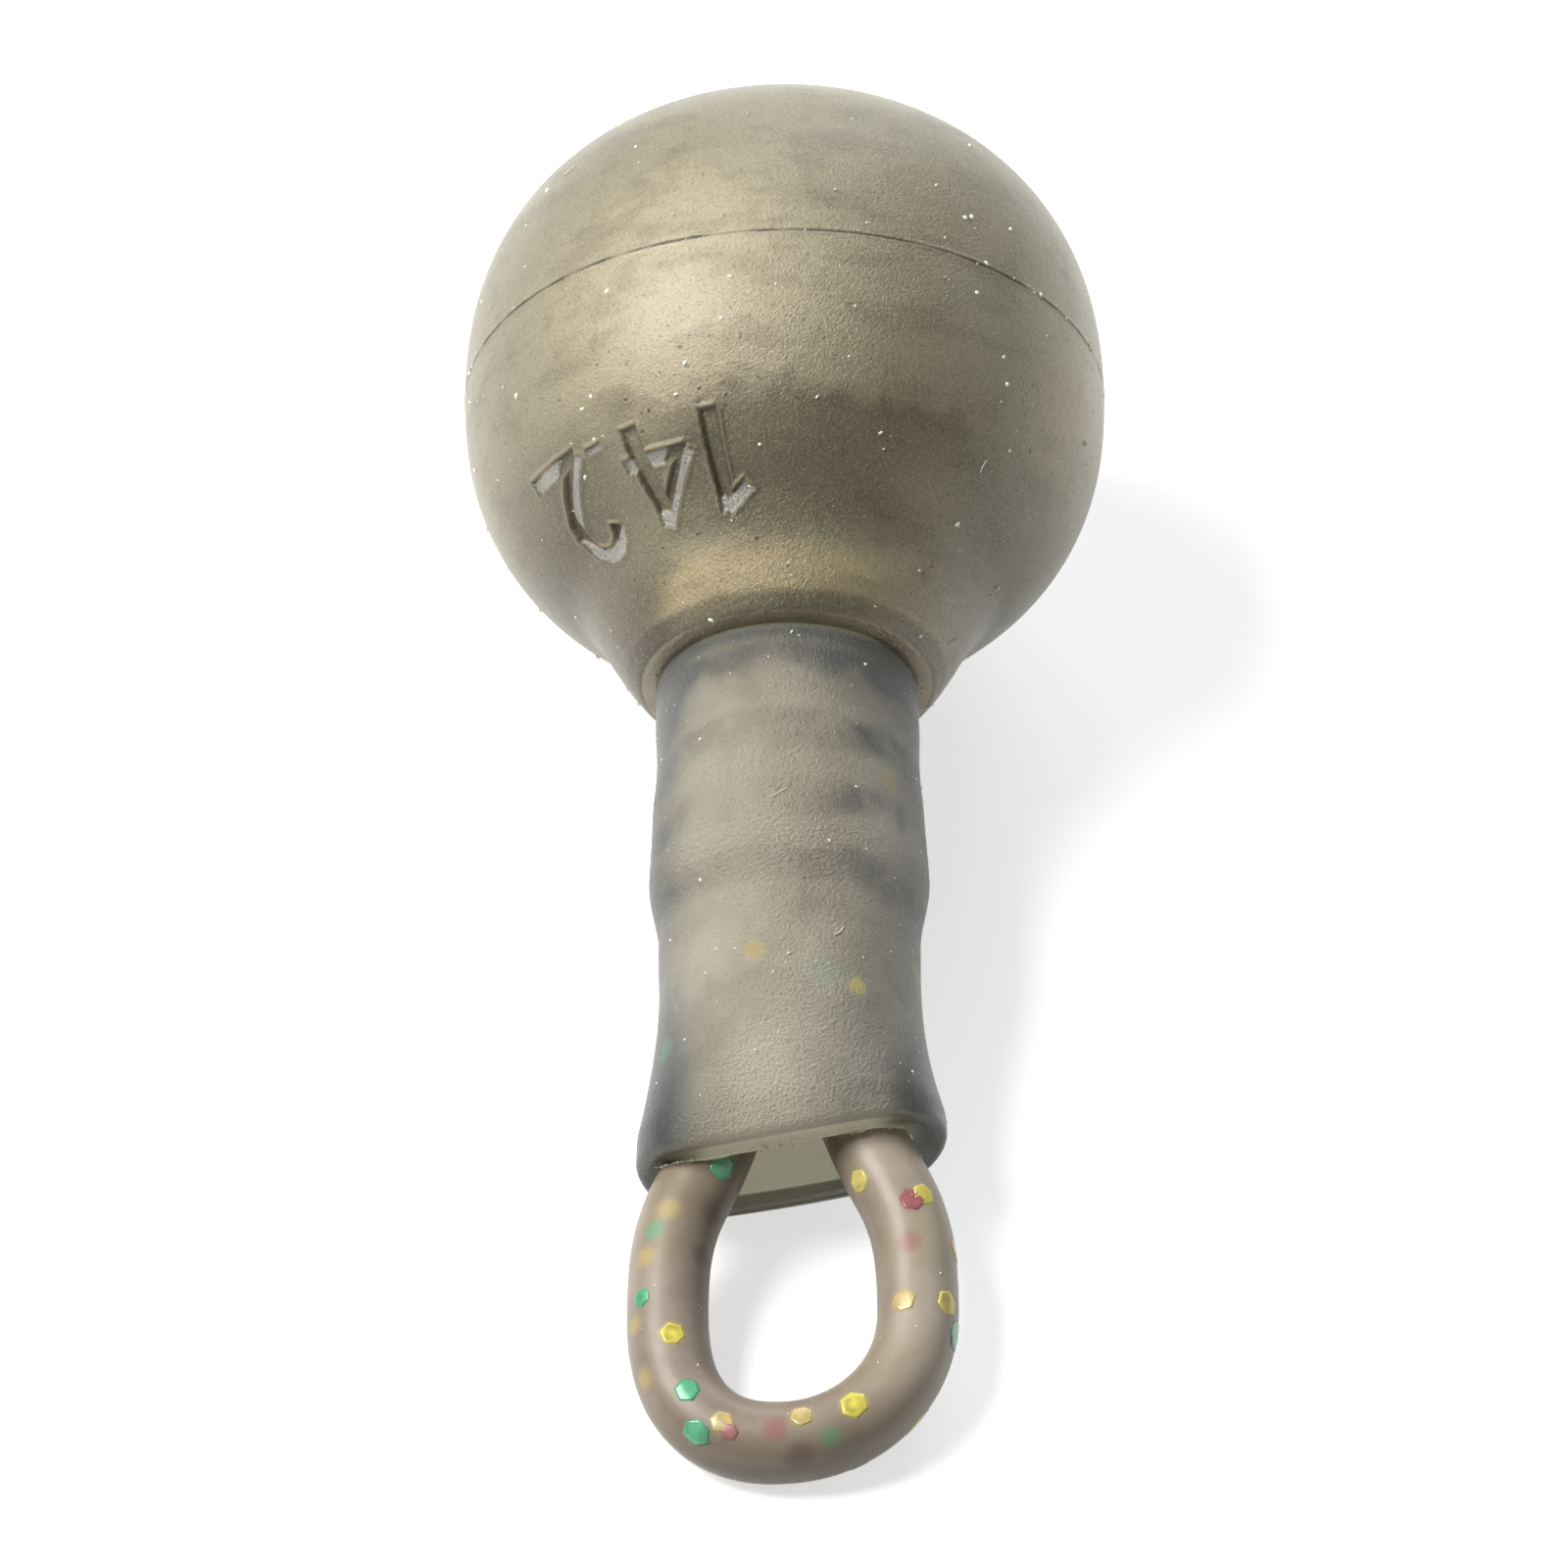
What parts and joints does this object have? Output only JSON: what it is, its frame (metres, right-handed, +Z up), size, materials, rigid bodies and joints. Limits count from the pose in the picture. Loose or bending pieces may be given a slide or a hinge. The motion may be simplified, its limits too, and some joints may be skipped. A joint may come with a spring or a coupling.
{
  "type": "back lead",
  "caption": "Coated ball weight with a ringed stem, a silicone sleeve pushed over the stem and a soft cord loop held in the sleeve; it pins a fishing line down on the lake bed.",
  "frame": {"origin": "on the ground, under the middle of the bounding box of the lead as it lies on its side on the ball and the bight of the loop", "axes": "+Z up, +Y from the loop towards the ball, +X across the loop; the tail's axis lies in the YZ plane and drops 13.8 degrees from the ball to the loop"},
  "size_m": [0.0144, 0.0332, 0.0144],
  "materials": {
    "ball_coat": "thin soft olive coat over cast lead, satin, with a moulded parting line and a sunk weight number",
    "cast_lead": "dull grey cast lead, hidden under the coat",
    "stem_plastic": "moulded olive plastic with three barbed rings",
    "sleeve_silicone": "smoky translucent silicone tube with a fine grained skin",
    "loop_cord": "taupe translucent elastomer cord with green, gold and red flakes inside"
  },
  "bodies": {
    "tail": {"silicone_sleeve": "sleeve_silicone", "cord_end_left": "loop_cord", "cord_end_right": "loop_cord"},
    "weight": {"ball_coat": "ball_coat", "lead_core": "cast_lead", "ringed_stem": "stem_plastic"},
    "loop": {"cord_loop": "loop_cord"}
  },
  "joints": [
    {"name": "weight_pull", "type": "slide", "parent": "tail", "child": "weight", "axis": [0, 0.9711, 0.2385], "range_m": [0, 0.006]},
    {"name": "loop_flex", "type": "hinge", "parent": "tail", "child": "loop", "pos_m": [0, -0.00988, 0.00236], "axis": [-0.9976, 0.0166, -0.0677], "range_deg": [0, 45], "stiffness_Nm_per_rad": 0.001}
  ]
}
